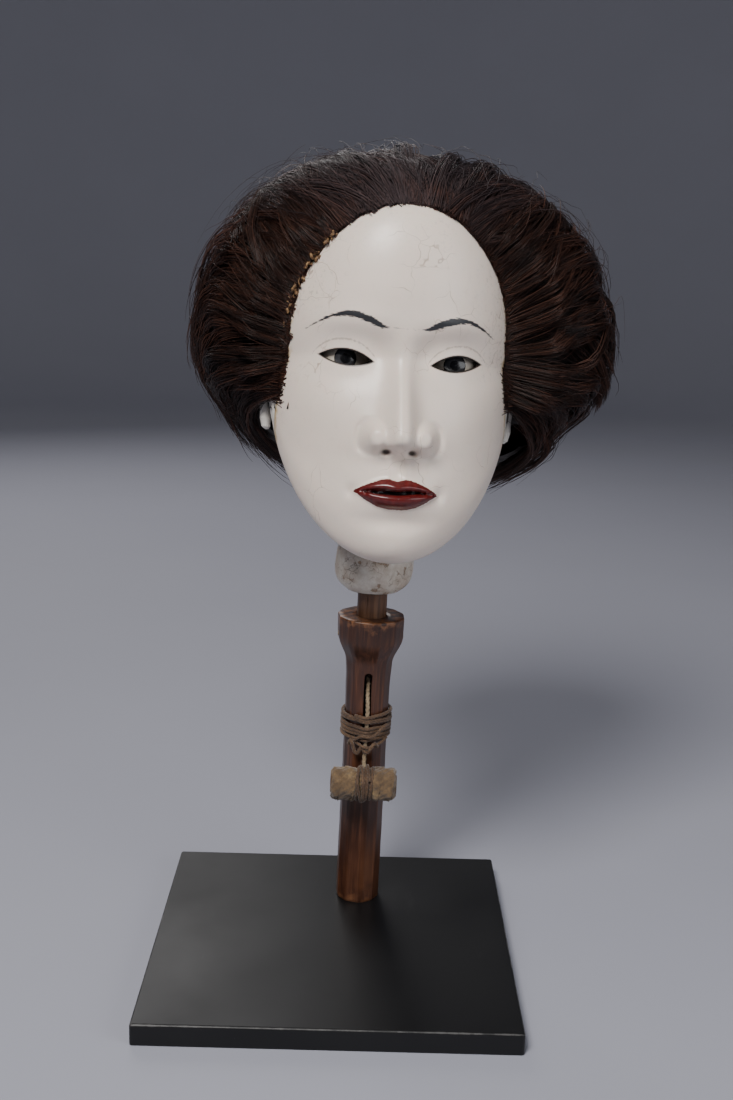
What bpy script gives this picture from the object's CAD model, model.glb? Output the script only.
import math

import bpy
import numpy as np
from mathutils import Matrix, Vector


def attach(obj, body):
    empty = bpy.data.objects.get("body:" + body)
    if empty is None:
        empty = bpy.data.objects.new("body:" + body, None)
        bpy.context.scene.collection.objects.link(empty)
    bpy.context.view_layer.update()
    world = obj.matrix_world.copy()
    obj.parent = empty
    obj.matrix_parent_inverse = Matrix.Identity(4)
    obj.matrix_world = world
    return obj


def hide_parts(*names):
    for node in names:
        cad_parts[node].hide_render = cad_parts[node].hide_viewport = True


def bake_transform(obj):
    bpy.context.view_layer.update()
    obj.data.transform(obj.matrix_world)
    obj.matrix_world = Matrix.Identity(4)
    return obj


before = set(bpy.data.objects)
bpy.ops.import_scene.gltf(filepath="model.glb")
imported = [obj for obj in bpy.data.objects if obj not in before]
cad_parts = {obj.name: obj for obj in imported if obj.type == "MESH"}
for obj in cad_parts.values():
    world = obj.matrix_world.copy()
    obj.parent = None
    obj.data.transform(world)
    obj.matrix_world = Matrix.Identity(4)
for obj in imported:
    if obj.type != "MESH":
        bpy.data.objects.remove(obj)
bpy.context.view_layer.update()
MM = 0.001


# ---------- frames, as in the CAD ----------
def shift(x, y, z):
    return Matrix.Translation((x * MM, y * MM, z * MM))


def turn(x=0.0, y=0.0, z=0.0):
    r = [Matrix.Rotation(math.radians(a), 4, n) for a, n in ((z, "Z"), (y, "Y"), (x, "X"))]
    return r[0] @ r[1] @ r[2]


LEAN, ROLL, YAW, PITCH = 1.3, 2.7, 5.0, 8.0
GRIP = shift(13.5, 48, 12) @ turn(y=LEAN)
HEAD = GRIP @ shift(0, 0, 293) @ turn(y=-LEAN) @ turn(y=ROLL, z=YAW) @ turn(x=-PITCH) @ shift(0, -20, 25)
WORLD = Matrix.Identity(4)


# ---------- meshes ----------
def make(name, verts, faces, mat, where=WORLD, body="stand", stands_for=(), attrs=None,
         smooth=True, placed=False,
         bend=None):
    me = bpy.data.meshes.new(name)
    if placed:
        m = np.array(where)
        verts = np.asarray(verts) @ m[:3, :3].T + m[:3, 3] / MM
        where = WORLD
    v = np.ascontiguousarray(np.asarray(verts, np.float32) * MM)
    faces = [np.asarray(f, np.int32) for f in (faces if isinstance(faces, list) else [faces])]
    faces = [f for f in faces if len(f)]
    sizes = np.concatenate([np.full(len(f), f.shape[1], np.int32) for f in faces])
    loops = np.concatenate([f.ravel() for f in faces])
    me.vertices.add(len(v))
    me.vertices.foreach_set("co", v.ravel())
    me.loops.add(len(loops))
    me.loops.foreach_set("vertex_index", loops)
    me.polygons.add(len(sizes))
    me.polygons.foreach_set("loop_start", np.concatenate([[0], np.cumsum(sizes)[:-1]]).astype(np.int32))
    me.polygons.foreach_set("use_smooth", np.full(len(sizes), smooth))
    me.update(calc_edges=True)
    for key, value in (attrs or {}).items():
        me.attributes.new(key, "FLOAT", "POINT").data.foreach_set("value", np.asarray(value, np.float32))
    me.validate()
    me.materials.append(mat)
    o = bpy.data.objects.new(name, me)
    bpy.context.scene.collection.objects.link(o)
    o.matrix_world = where
    if bend:
        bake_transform(o)
    else:
        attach(o, body)
    if stands_for:
        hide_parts(*stands_for)
    return o


def grid_faces(rows, cols, wrap=False):
    """Quads over a grid of rows by cols vertices. wrap joins the last column to the first."""
    i = np.arange(rows - 1)[:, None]
    j = np.arange(cols if wrap else cols - 1)[None, :]
    k = (j + 1) % cols
    return np.stack([i * cols + j, i * cols + k, (i + 1) * cols + k, (i + 1) * cols + j], -1).reshape(-1, 4)


def clip(v, quads, f):
    """Cuts away where f is negative, along a clean line. Returns vertices, quads, triangles and the cut's
    edges."""
    v = v.copy()
    fv = f(v)
    e = np.concatenate([quads[:, [0, 1]], quads[:, [1, 2]], quads[:, [2, 3]], quads[:, [3, 0]]])
    e = np.unique(np.sort(e, axis=1), axis=0)
    a, b = e[:, 0], e[:, 1]
    cross = fv[a] * fv[b] < 0
    a, b = a[cross], b[cross]
    s = fv[a] / (fv[a] - fv[b])
    near = np.where(s < 0.5, a, b)
    order = np.argsort(-np.minimum(s, 1 - s))
    place = v[a] + (v[b] - v[a]) * s[:, None]
    v[near[order]] = place[order]
    fv[near] = 0
    fq = np.sign(fv)[quads]
    keep = (fq >= 0).all(1) & (fq > 0).any(1)
    mixed = np.nonzero((fq > 0).any(1) & (fq < 0).any(1))[0]
    tris = []
    for m in mixed:
        for c in range(4):
            if fq[m, c] > 0:
                tris.append([quads[m, c - 1], quads[m, c], quads[m, (c + 1) % 4]])
    tris = np.array(tris, np.int64).reshape(-1, 3)
    kept = quads[keep]
    half = np.concatenate([kept[:, [i, (i + 1) % 4]] for i in range(4)] + [tris[:, [i, (i + 1) % 3]]
            for i in range(3)])
    on = (fv[half] == 0).all(1)
    half = half[on]
    back = {(int(q), int(p)) for p, q in half}
    cut = np.array([h for h in half if (int(h[0]), int(h[1])) not in back], np.int64).reshape(-1, 2)
    return v, kept, tris, cut


def rim(v, cut, rings):
    """Faces that run in from a cut's edges. rings gives the moved places of the edge vertices, ring by
    ring."""
    ids = np.unique(cut)
    place = {int(k): i for i, k in enumerate(ids)}
    out, faces, last = [v], [], ids
    base = len(v)
    for r in rings:
        out.append(r(v[ids]))
        now = np.arange(base, base + len(ids))
        p = np.array([place[int(k)] for k in cut[:, 0]], np.int64)
        q = np.array([place[int(k)] for k in cut[:, 1]], np.int64)
        faces.append(np.stack([last[q], last[p], now[p], now[q]], -1))
        last, base = now, base + len(ids)
    return np.concatenate(out), np.concatenate(faces)


def compact(v, faces, attrs):
    """Drops vertices that no face uses."""
    used = np.unique(np.concatenate([f.ravel() for f in faces if len(f)]))
    new = np.full(len(v), -1, np.int64)
    new[used] = np.arange(len(used))
    return v[used], [new[f] for f in faces if len(f)], {k: a[used] for k, a in attrs.items()}


def smooth_curve(points, sigma=1.0):
    """A smooth table through (position, value) points."""
    p = np.array(sorted(points), float)
    x = np.arange(p[0, 0] - 20, p[-1, 0] + 20, 0.2)
    y = np.interp(x, p[:, 0], p[:, 1])
    k = np.exp(-0.5 * (np.arange(-40, 41) * 0.2 / sigma) ** 2)
    y = np.convolve(np.pad(y, 40, mode="edge"), k / k.sum(), mode="valid")
    return lambda q: np.interp(q, x, y)


def bell(d, w, p=2.0):
    return np.exp(-np.abs(d / w) ** p)


def wobble(n, scale, seed, dims=1):
    """Smooth random offsets along n samples, about one unit high, changing every `scale` samples."""
    r = np.random.default_rng(seed)
    k = max(4, int(n / scale) + 4)
    knots = r.normal(0, 1, (k, dims))
    x = np.linspace(0, k - 3.001, n)
    i = x.astype(int)
    t = (x - i)[:, None]
    p0, p1, p2, p3 = knots[i], knots[i + 1], knots[np.minimum(i + 2, k - 1)], knots[np.minimum(i + 3,
            k - 1)]
    out = 0.5 * (2 * p1 + (p2 - p0) * t + (2 * p0 - 5 * p1 + 4 * p2 - p3) * t**2 + (3 * p1 - p0 - 3 * p2
            + p3) * t**3)
    return out if dims > 1 else out[:, 0]


def sweep(path, radius, sides=12, plies=0, lay=6.0, flat=0.16):
    """A tube along a path in millimetres. plies twists that many strands round each other, one turn every
    `lay` radii."""
    p = np.asarray(path, float)
    n = len(p)
    t = np.gradient(p, axis=0)
    t /= np.linalg.norm(t, axis=1)[:, None]
    normal = np.zeros_like(p)
    start = np.cross(t[0], [0.31, 0.52, 0.79])
    normal[0] = start / np.linalg.norm(start)
    for i in range(1, n):
        w = normal[i - 1] - t[i] * (normal[i - 1] @ t[i])
        normal[i] = w / np.linalg.norm(w)
    side = np.cross(t, normal)
    length = np.concatenate([[0], np.cumsum(np.linalg.norm(np.diff(p, axis=0), axis=1))])
    a = np.linspace(0, 2 * np.pi, sides, endpoint=False)
    r = np.broadcast_to(np.asarray(radius, float), (n,))[:, None] * np.ones((1, sides))
    if plies:
        turned = plies / 2 * (a[None, :] - length[:, None] * 2 * np.pi / (lay * np.mean(r)))
        r = r * (1 - flat + flat * np.abs(np.cos(turned)) * 1.6 - flat * 0.6)
    v = p[:, None, :] + r[..., None] * (np.cos(a)[None, :, None] * normal[:, None, :] + np.sin(a)[None, :,
            None] * side[:, None, :])
    v = np.concatenate([v.reshape(-1, 3), p[:1], p[-1:]])
    j = np.arange(sides)
    k = (j + 1) % sides
    ends = [np.stack([np.full(sides, n * sides), k, j], -1),
            np.stack([np.full(sides, n * sides + 1), (n - 1) * sides + j, (n - 1) * sides + k], -1)]
    return v, [grid_faces(n, sides, True), np.concatenate(ends)]


def joined(parts):
    """Several (vertices, faces) as one."""
    v, quads, tris, at = [], [], [], 0
    for pv, pf in parts:
        for f in pf:
            (quads if f.shape[1] == 4 else tris).append(f + at)
        v.append(pv)
        at += len(pv)
    return np.concatenate(v), [np.concatenate(x) for x in (quads, tris) if x]


# ---------- materials ----------
class Paint:
    """One procedural material."""

    def __init__(self, name, rough=0.5, **fixed):
        self.mat = bpy.data.materials.new(name)
        self.mat.use_nodes = True
        self.tree = self.mat.node_tree
        self.bsdf = self.tree.nodes["Principled BSDF"]
        self.bsdf.inputs["Roughness"].default_value = rough
        for key, value in fixed.items():
            self.bsdf.inputs[key.replace("_", " ")].default_value = value
        self.at = self.node("ShaderNodeTexCoord").outputs["Object"]

    def node(self, kind, wires=None, **props):
        n = self.tree.nodes.new(kind)
        for key, value in props.items():
            setattr(n, key, value)
        for key, value in (wires or {}).items():
            self.plug(n.inputs[key], value)
        return n

    def plug(self, socket, value):
        if isinstance(value, bpy.types.NodeSocket):
            self.tree.links.new(value, socket)
        elif isinstance(value, (tuple, list)) and socket.type == "RGBA":
            socket.default_value = (*value[:3], 1.0)
        else:
            socket.default_value = value

    def stretched(self, x=1.0, y=1.0, z=1.0):
        return self.node("ShaderNodeMapping", {"Vector": self.at, "Scale": (x, y, z)}).outputs[0]

    def noise(self, scale, detail=4.0, rough=0.55, at=None, twist=0.0):
        wires = {"Vector": at or self.at, "Scale": scale, "Detail": detail, "Roughness": rough,
                 "Distortion": twist}
        return self.node("ShaderNodeTexNoise", wires).outputs["Fac"]

    def cells(self, scale, kind="DISTANCE_TO_EDGE", at=None):
        n = self.node("ShaderNodeTexVoronoi", {"Vector": at or self.at, "Scale": scale}, feature=kind)
        return n.outputs["Distance"]

    def ramp(self, fac, *stops):
        n = self.node("ShaderNodeValToRGB", {"Fac": fac})
        r = n.color_ramp
        while len(r.elements) < len(stops):
            r.elements.new(0.5)
        for e, (pos, value) in zip(r.elements, stops):
            e.position = pos
            e.color = (*value, 1.0) if isinstance(value, tuple) else (value, value, value, 1.0)
        return n.outputs["Color"]

    def calc(self, op, a, b=0.0, c=0.0):
        n = self.node("ShaderNodeMath", operation=op)
        for socket, value in zip(n.inputs, (a, b, c)):
            self.plug(socket, value)
        return n.outputs[0]

    def fit(self, value, a, b, to=(0.0, 1.0)):
        wires = {"Value": value, "From Min": a, "From Max": b, "To Min": to[0], "To Max": to[1]}
        return self.node("ShaderNodeMapRange", wires, clamp=True).outputs[0]

    def mix(self, fac, a, b):
        n = self.node("ShaderNodeMix", data_type="RGBA")
        for i, value in ((0, fac), (6, a), (7, b)):
            self.plug(n.inputs[i], value)
        return n.outputs[2]

    def attr(self, name):
        return self.node("ShaderNodeAttribute", attribute_name=name).outputs["Fac"]

    def axis(self, n):
        return self.node("ShaderNodeSeparateXYZ", {"Vector": self.at}).outputs[n]

    def finish(self, color, rough=None, *bumps):
        self.plug(self.bsdf.inputs["Base Color"], color)
        if rough is not None:
            self.plug(self.bsdf.inputs["Roughness"], rough)
        last = None
        for height, strength, depth in bumps:
            wires = {"Height": height, "Strength": strength, "Distance": depth * MM}
            if last:
                wires["Normal"] = last
            last = self.node("ShaderNodeBump", wires).outputs[0]
        if last:
            self.plug(self.bsdf.inputs["Normal"], last)
        return self.mat

    def warp(self, scale, amount):
        """Object coordinates pushed about by noise."""
        n = self.node("ShaderNodeTexNoise", {"Vector": self.at, "Scale": scale, "Detail": 2.0})
        moved = self.node("ShaderNodeVectorMath", {0: n.outputs["Color"], 1: (0.5, 0.5, 0.5)},
                          operation="SUBTRACT")
        scaled = self.node("ShaderNodeVectorMath", {0: moved.outputs[0], "Scale": amount},
                           operation="SCALE")
        return self.node("ShaderNodeVectorMath", {0: self.at, 1: scaled.outputs[0]},
                         operation="ADD").outputs[0]


# ---------- the head's surface ----------
PROFILE = np.array([
    [-90, 72], [-77, 86], [-68, 104], [-62, 116], [-54, 111], [-44, 95], [-33, 82], [-16, 70], [0, 64.5],
    [12, 71],
    [29, 82], [49, 98], [73, 104], [90, 105], [112, 105], [139, 99], [171, 93], [199, 90], [226, 86],
    [247, 78], [270, 72]], float)
HALF_W = 66.0
SEAM_Y, SEAM_SLOPE = -31.4, math.tan(math.radians(12))
EYE_X, EYE_Y, EYE_R = 28.0, -39.5, 13.0


def profile_r(psi):
    turned = np.array([360.0, 0.0])
    p = np.concatenate([PROFILE[-2:-1] - turned, PROFILE, PROFILE[1:2] + turned])
    slope = (p[2:, 1] - p[:-2, 1]) / (p[2:, 0] - p[:-2, 0])
    i = np.clip(np.searchsorted(PROFILE[:, 0], psi, side="right") - 1, 0, len(PROFILE) - 2)
    w = PROFILE[i + 1, 0] - PROFILE[i, 0]
    s = (psi - PROFILE[i, 0]) / w
    return (PROFILE[i, 1] * (2 * s**3 - 3 * s**2 + 1) + PROFILE[i + 1, 1] * (3 * s**2 - 2 * s**3)
            + w * (slope[i] * (s**3 - 2 * s**2 + s) + slope[i + 1] * (s**3 - s**2)))


def egg(psi, t, grow=0.0):
    """Points on the head's plain surface, from the angle round the ear axis and the angle out to the side."""
    r = (profile_r(psi) + grow) * np.cos(np.radians(t))
    x = (HALF_W + grow) * np.sin(np.radians(t))
    return np.stack([x, -r * np.cos(np.radians(psi)), r * np.sin(np.radians(psi))], -1)


def seam(v):
    """How far in front of the plane that parts the face from the back, in millimetres."""
    return -(v[:, 1] - SEAM_Y + SEAM_SLOPE * v[:, 2]) * math.cos(math.radians(12))


def neck_hole(v, r=27.0):
    """Positive outside the neck's opening."""
    y = v[:, 1] - np.clip(v[:, 1], -10, 24)
    d = np.hypot(v[:, 0], y) - r
    return np.where(v[:, 2] < -40, d, 5.0)


def eye_inside(x, z):
    """Positive inside an eye opening, about in millimetres."""
    u = (np.abs(x) - EYE_X) / 13.5
    up = 1.4 * u + 4.4 * (1 - u * u) - z
    low = z - 1.4 * u + 3.74 * (1 - u * u)
    return np.minimum(up, low)


# ---------- the face: a plain design on thirds ----------
ridge = smooth_curve([(24, 0), (15, 0.5), (7, 1.6), (0, 3.4), (-8, 6.2), (-18, 9.8), (-27, 13.4),
                      (-33, 16.2), (-37.5, 17.8),
                      (-41, 17.2), (-43.5, 13.5), (-46, 7.0), (-48.5, 1.5), (-52, 0.0)], 1.3)
ridge_w = smooth_curve([(24, 12), (12, 7.2), (2, 5.6), (-10, 6.0), (-22, 6.9), (-32, 8.0), (-40, 8.8),
                        (-46, 9.6), (-52, 12)], 2.0)
lip_top = smooth_curve([(0, -60.0), (2.0, -59.4), (4.6, -58.7), (8, -59.4), (13, -61.2), (18, -63.6),
                        (21.5, -65.9), (30, -66)], 0.7)
lip_line = smooth_curve([(0, -65.8), (3.5, -65.6), (8, -65.0), (13, -65.1), (18, -65.7), (21.5, -66.0),
                         (30, -66)], 0.9)
lip_low = smooth_curve([(0, -74.2), (5, -74.1), (10, -72.8), (15, -70.2), (19, -67.5), (21.5, -66.1),
                        (30, -66)], 0.9)
brow_mid = smooth_curve([(11, 15.5), (17, 18.4), (24, 21.0), (31, 21.6), (38, 19.8), (45, 16.2), (50, 13)],
                        1.5)
brow_half = smooth_curve([(9, 0.0), (12.5, 1.3), (17, 1.75), (25, 1.6), (33, 1.1), (41, 0.55), (48, 0.1),
                          (51, -0.5)], 1.0)


def lip_reach(x):
    return np.sqrt(np.clip(1 - (x / 22.0) ** 2, 0, 1))


def mouth_gap(x, z):
    """Positive in the gap between the lips."""
    return 0.95 * np.clip(1 - (x / 17.5) ** 2, 0, 1) ** 0.7 - np.abs(z - lip_line(x) + 0.25) - 0.12


def lips(x, z):
    """Positive on the lips."""
    a = np.abs(x)
    return np.minimum(lip_top(a) - z, z - lip_low(a)) - np.clip(a - 21.2, 0, 99) * 2


def relief(x, z):
    """How far the features stand out of the plain surface."""
    a = np.abs(x)
    bridge = ridge(z) / (1 + (a / ridge_w(z)) ** 2.7)
    wing_d = np.hypot((a - 11.6) / 1.0, (z + 38.6) / 1.12)
    wing = 11.2 / (1 + (wing_d / 6.2) ** 4.2)
    nose = np.log(np.exp(bridge / 1.6) + np.exp(wing / 1.6) - 1 + 1e-9) * 1.6
    nose -= 1.5 * bell(wing_d - 9.4, 1.7) * (a > 10) * np.clip((z + 49) / 4, 0, 1) * np.clip((-28 - z) / 5,
            0, 1)
    nose -= 5.0 * bell(np.hypot((a - 6.4) / 3.3, (z + 45.2) / 1.9), 1.0, 2.6)
    out = nose
    out += 3.2 * bell(np.hypot(x / 27, (z + 66) / 15), 1.0)
    out -= 0.9 * bell(x, 2.6) * np.clip((z + 59.5) / 3, 0, 1) * np.clip((-47.5 - z) / 3, 0, 1)
    out += 0.5 * bell(a - 4.4, 1.7) * np.clip((z + 59.5) / 3, 0, 1) * np.clip((-47.5 - z) / 3, 0, 1)
    top, line, low, reach = lip_top(a), lip_line(a), lip_low(a), lip_reach(a)
    up = np.clip((z - line) / np.maximum(top - line, 0.3), 0, 1)
    dn = np.clip((line - z) / np.maximum(line - low, 0.3), 0, 1)
    upper = 3.4 * reach * np.sin(np.pi * np.clip(1 - up, 0, 1) ** 1.25) ** 0.8 * (1 + 0.25 * bell(x, 4))
    lower = 4.3 * reach * np.sin(np.pi * dn**0.8) ** 0.85
    out += np.where(z > line, np.where(z < top, upper, 0), np.where(z > low, lower, 0))
    out += 0.7 * reach * bell(z - top, 0.8)
    out -= 4.6 * np.clip(mouth_gap(x, z) / 0.5, 0, 1) + 1.6 * reach * bell(z - line, 0.9)
    out -= 1.4 * bell(np.hypot((a - 22.5) / 2.6, (z + 66.2) / 3.4), 1.0)
    out -= 2.6 * bell(np.hypot(x / 17, (z + 80.5) / 5.0), 1.0)
    out += 3.4 * bell(np.hypot(x / 15, (z + 95) / 10), 1.0)
    out += 2.4 * bell(np.hypot((a - 37) / 17, (z + 24) / 18), 1.0)
    out -= 4.2 * bell(np.hypot((a - EYE_X) / 18, (z - 3.5) / 12.5), 1.0, 2.6)
    out -= 1.8 * bell(np.hypot((a - 12.5) / 6, (z - 3) / 9), 1.0)
    out += 4.6 * bell(np.hypot((a - EYE_X) / 15.5, z / 8.8), 1.0, 2.4)
    out += 1.7 * bell(np.hypot((a - 26) / 17, (z - 17.5) / 6.5), 1.0)
    return out


def crease(x, z):
    """Distance from the line above each eye where the lid folds."""
    u = (np.abs(x) - EYE_X - 0.6) / 16.0
    mid = 1.5 * u + 9.2 * np.clip(1 - np.abs(u) ** 2.2, 0, 1) ** 0.8
    return np.where(np.abs(u) < 1, np.abs(z - mid), 9.0)


def face_shell():
    psi = np.concatenate([np.linspace(-80, -62, 26)[:-1], np.linspace(-62, 30, 216)[:-1],
                          np.linspace(30, 59.6, 46)])
    line = np.concatenate([np.linspace(-1, -0.76, 20)[:-1], np.linspace(-0.76, 0.76, 226)[:-1],
                           np.linspace(0.76, 1, 20)])
    p = np.radians(psi)
    reach = -SEAM_Y / (profile_r(psi) * (np.cos(p) - SEAM_SLOPE * np.sin(p)))
    edge = np.degrees(np.arccos(np.clip(reach, -1, 1)))
    v = egg(psi[:, None] + 0 * line, line[None, :] * edge[:, None]).reshape(-1, 3)
    quads = grid_faces(len(psi), len(line))
    v, quads, tris, _ = clip(v, quads, neck_hole)
    v, quads2, tris2, eye_cut = clip(v, quads, lambda q: -eye_inside(q[:, 0], q[:, 2]))
    tris = np.concatenate([tris, tris2])
    v[:, 1] -= relief(v[:, 0], v[:, 2]) * np.clip(-v[:, 1] / 30, 0, 1)
    near_seam = seam(v)
    v[:, 1] += 0.7 * bell(near_seam, 1.2)

    def lid(depth, inward):
        def place(q):
            d = 0.05
            gx = (eye_inside(q[:, 0] + d, q[:, 2]) - eye_inside(q[:, 0] - d, q[:, 2])) / (2 * d)
            gz = (eye_inside(q[:, 0], q[:, 2] + d) - eye_inside(q[:, 0], q[:, 2] - d)) / (2 * d)
            n = np.hypot(gx, gz) + 1e-9
            return q + np.stack([gx / n * inward, np.full(len(q), depth), gz / n * inward], -1)
        return place

    v, walls = rim(v, eye_cut, [lid(0.12, 0.22), lid(0.5, 0.42), lid(1.4, 0.5), lid(3.2, 0.3),
                                lid(6.0, -0.3)])
    x, z = v[:, 0], v[:, 2]
    inner = np.zeros(len(v))
    inner[np.unique(walls)] = 1
    attrs = {
        "lips": lips(x, z), "gap": mouth_gap(x, z), "eye": -eye_inside(x, z), "crease": crease(x, z),
        "brow": brow_half(np.abs(x)) - np.abs(z - brow_mid(np.abs(x))), "edge": np.abs(seam(v)),
        "inner": inner,
        "hollow": bell(np.hypot((np.abs(x) - 6.4) / 3.0, (z + 45.6) / 1.8), 1.0)}
    v, faces, attrs = compact(v, [np.concatenate([quads2, walls]), tris], attrs)
    return make("face", v, faces, face_paint(), HEAD, "head", ["face_shell"], attrs)


def shell_color(paint, tint=(0.84, 0.72, 0.62)):
    """Shell-white ground: cream, a little uneven, with faint stains."""
    broad = paint.noise(22, 3, 0.5)
    fine = paint.noise(210, 5, 0.6)
    color = paint.ramp(broad, (0.3, tuple(c * 0.955 for c in tint)), (0.55, tint),
                       (0.75, (tint[0] * 1.03, tint[1] * 1.03, tint[2] * 1.02)))
    stain = paint.ramp(fine, (0.0, 0.0), (0.56, 0.0), (0.78, 0.22))
    return paint.mix(stain, color, (0.62, 0.52, 0.42)), fine


def face_paint():
    p = Paint("face_gofun", 0.34, Coat_Weight=0.12, Coat_Roughness=0.3, Subsurface_Weight=0.08,
              Subsurface_Scale=0.004)
    color, fine = shell_color(p)
    # Faint mottling and rubbed yellow wood along the rim.
    edge = p.attr("edge")
    rough_edge = p.calc("ADD", edge, p.fit(p.noise(380, 3), 0.3, 0.7, (-2.2, 1.6)))
    color = p.mix(p.fit(rough_edge, 4.2, 0.4, (0.0, 0.95)), color, (0.56, 0.38, 0.15))
    color = p.mix(p.fit(edge, 0.9, 0.25, (0.0, 0.7)), color, (0.12, 0.075, 0.04))
    # Hair-fine cracks, only in places.
    crack = p.calc("MULTIPLY", p.fit(p.cells(62, at=p.warp(90, 0.010)), 0.010, 0.0),
                   p.fit(p.noise(30, 2), 0.50, 0.60))
    color = p.mix(p.calc("MULTIPLY", crack, 0.7), color, (0.30, 0.20, 0.13))
    # Rubbed, pitted patches towards the rim, and a few dark nicks.
    pits = p.calc("MULTIPLY", p.fit(p.noise(520, 4, 0.65), 0.55, 0.66), p.fit(edge, 30.0, 7.0))
    pits = p.calc("MULTIPLY", pits, p.fit(p.noise(26, 3), 0.46, 0.62))
    color = p.mix(p.calc("MULTIPLY", pits, 0.62), color, (0.42, 0.36, 0.30))
    nick = p.calc("MULTIPLY", p.fit(p.cells(75, "F1", p.warp(300, 0.004)), 0.035, 0.015),
                  p.fit(p.noise(34, 2), 0.60, 0.66))
    color = p.mix(p.calc("MULTIPLY", nick, 0.9), color, (0.13, 0.075, 0.04))
    # Rubbed lid folds and a worn outline round the eyes.
    fold = p.calc("ADD", p.attr("crease"), p.fit(p.noise(700, 2), 0.3, 0.7, (-0.35, 0.35)))
    color = p.mix(p.fit(fold, 0.62, 0.12, (0.0, 0.55)), color, (0.33, 0.25, 0.2))
    color = p.mix(p.fit(p.attr("eye"), 0.75, 0.1, (0.0, 0.9)), color, (0.045, 0.03, 0.026))
    color = p.mix(p.fit(p.attr("inner"), 0.3, 0.7), color, (0.02, 0.014, 0.011))
    # Brushed brows.
    strokes = p.noise(1.0, 3, 0.6, p.stretched(260, 260, 1700))
    brow = p.calc("ADD", p.attr("brow"), p.fit(strokes, 0.3, 0.7, (-0.75, 0.35)))
    color = p.mix(p.fit(brow, -0.42, 0.04, (0.0, 0.98)), color, p.mix(strokes, (0.003, 0.005, 0.009),
            (0.010, 0.014, 0.022)))
    # Lips, the gap between them, the nostrils.
    lip = p.calc("ADD", p.attr("lips"), p.fit(p.noise(900, 2), 0.3, 0.7, (-0.18, 0.18)))
    lip_mask = p.fit(lip, -0.1, 0.16)
    red = p.mix(p.ramp(p.noise(500, 3), (0.35, 0.0), (0.7, 1.0)), (0.080, 0.005, 0.005),
                (0.135, 0.012, 0.010))
    color = p.mix(lip_mask, color, red)
    color = p.mix(p.fit(p.attr("gap"), -0.22, 0.16), color, (0.010, 0.006, 0.006))
    color = p.mix(p.fit(p.attr("hollow"), 0.45, 0.85, (0.0, 0.93)), color, (0.035, 0.018, 0.014))
    rough = p.mix(lip_mask, p.mix(fine, (0.30,) * 3, (0.44,) * 3), (0.27,) * 3)
    height = p.noise(120, 5, 0.6)
    return p.finish(color, rough, (height, 0.10, 0.5), (crack, 0.25, -0.25), (pits, 0.35, -0.25),
                    (p.fit(brow, -0.2, 0.2), 0.15, 0.1))


face_shell()


# ---------- eyes ----------
def eye_paint(kind):
    p = Paint("eye_" + kind, 0.24, Coat_Weight=0.35, Coat_Roughness=0.12)
    n = p.noise(240, 4)
    if kind == "white":
        return p.finish(p.ramp(n, (0.3, (0.50, 0.43, 0.34)), (0.7, (0.66, 0.60, 0.52))), None,
                        (n, 0.06, 0.2))
    x, z = p.axis(0), p.axis(2)
    d = p.calc("MULTIPLY", p.calc("SQRT", p.calc("ADD", p.calc("MULTIPLY", x, x),
            p.calc("MULTIPLY", z, z))), 1000)
    ring = p.ramp(p.calc("ADD", p.calc("DIVIDE", d, 6.0), p.fit(n, 0.3, 0.7, (-0.03, 0.03))),
                  (0.0, (0.004, 0.004, 0.005)), (0.40, (0.005, 0.005, 0.006)), (0.46, (0.045, 0.045, 0.05)),
                  (0.85, (0.03, 0.03, 0.034)), (0.97, (0.008, 0.008, 0.009)))
    return p.finish(ring, None, (n, 0.04, 0.2))


def dome(radius, polar, rings, sides, back=None):
    """A cap of a ball about -Y, from its middle out to a polar angle in degrees."""
    a = np.radians(np.linspace(0.3, polar, rings))
    b = np.linspace(0, 2 * np.pi, sides, endpoint=False)
    v = np.stack([radius * np.sin(a)[:, None] * np.cos(b), -radius * np.cos(a)[:, None] + 0 * b,
                  radius * np.sin(a)[:, None] * np.sin(b)], -1).reshape(-1, 3)
    if back is not None:
        flat = v[-sides:] * [0.3, 0, 0.3] + [0, back, 0]
        v = np.concatenate([v, flat])
        rings += 1
    j = np.arange(sides)
    cap = np.stack([np.full(sides, len(v)), (j + 1) % sides, j], -1)
    v = np.concatenate([v, v[:1] * [0, 1, 0]])
    return v, [grid_faces(rings, sides, True)[:, ::-1], cap]


def eyes():
    white, dark = eye_paint("white"), eye_paint("dark")
    for side, name in ((-1, "left"), (1, "right")):
        where = HEAD @ shift(side * EYE_X, EYE_Y, 0)
        v, f = dome(EYE_R, 100, 60, 72, back=2.5)
        arm_v, arm_f = sweep([[0, 0, 0], [0, 4, 0], [0, 8.9, 0], [0, 9.0, 0.2], [0, 9.0, 4.8]],
                             [1.6, 1.6, 1.5, 1.0, 0.8], 10)
        v, f = joined([(v, f), (arm_v, arm_f)])
        make("eyeball_" + name + "_ball", v, f, white, where, "eye_" + name, ["eyeball_" + name])
        v, f = dome(EYE_R + 0.05, 25.6, 18, 72, back=-10.6)
        make("eye_" + name + "_iris", v, f, dark, where, "eye_" + name, ["iris_" + name])


# ---------- the net cap ----------
def egg_grid(rows, cols, grow, psi_from=-90.0):
    psi = np.linspace(psi_from, psi_from + 360, rows)
    t = np.linspace(-89.3, 89.3, cols)
    turned = np.where(psi > 270, psi - 360, psi)
    v = egg(turned[:, None] + 0 * t, 0 * psi[:, None] + t, grow).reshape(-1, 3)
    return v, grid_faces(rows, cols)


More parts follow.
